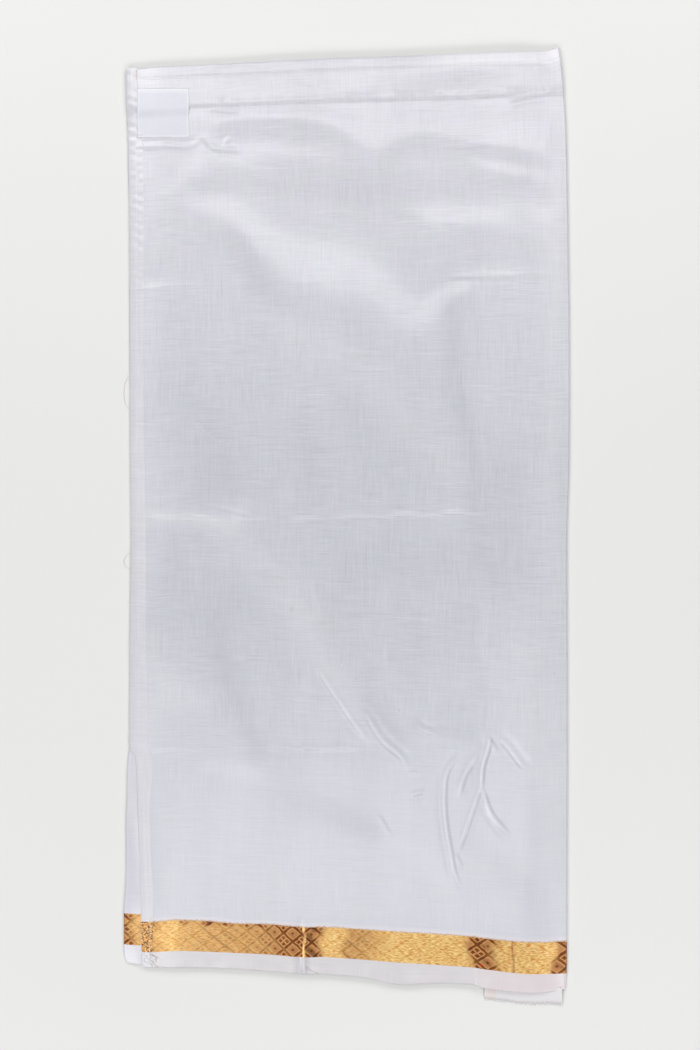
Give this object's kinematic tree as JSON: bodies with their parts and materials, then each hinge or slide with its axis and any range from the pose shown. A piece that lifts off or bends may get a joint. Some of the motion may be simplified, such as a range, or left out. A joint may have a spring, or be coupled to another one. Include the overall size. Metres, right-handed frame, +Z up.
{
  "type": "folded dhoti",
  "caption": "Stitched silk dhoti with a gold woven border, folded flat: a layered rectangle of cloth with a sewn waistband, side hem, bare label and one long fold.",
  "frame": {"origin": "middle of the folded cloth's rectangle, on its underside", "axes": "+Z up from the surface it lies on, +Y from the foot with the border to the waistband, +X from the hemmed free end to the long fold"},
  "size_m": [0.5085, 1.0522, 0.011],
  "materials": {
    "white_silk": "soft sheen, fine slub weave",
    "gold_zari": "metallic thread, woven lattice of diamonds",
    "label_satin": "woven satin, bare"
  },
  "bodies": {
    "root": {"folded_layers": "white_silk", "front_panel": "white_silk", "inner_end": "white_silk", "label": "label_satin", "second_selvedge": "white_silk", "second_stretch": "white_silk", "second_zari": "gold_zari", "selvedge": "white_silk", "side_hem": "white_silk", "side_hem_foot": "white_silk", "side_hem_zari": "gold_zari", "waistband": "white_silk", "zari_border": "gold_zari"}
  },
  "joints": []
}
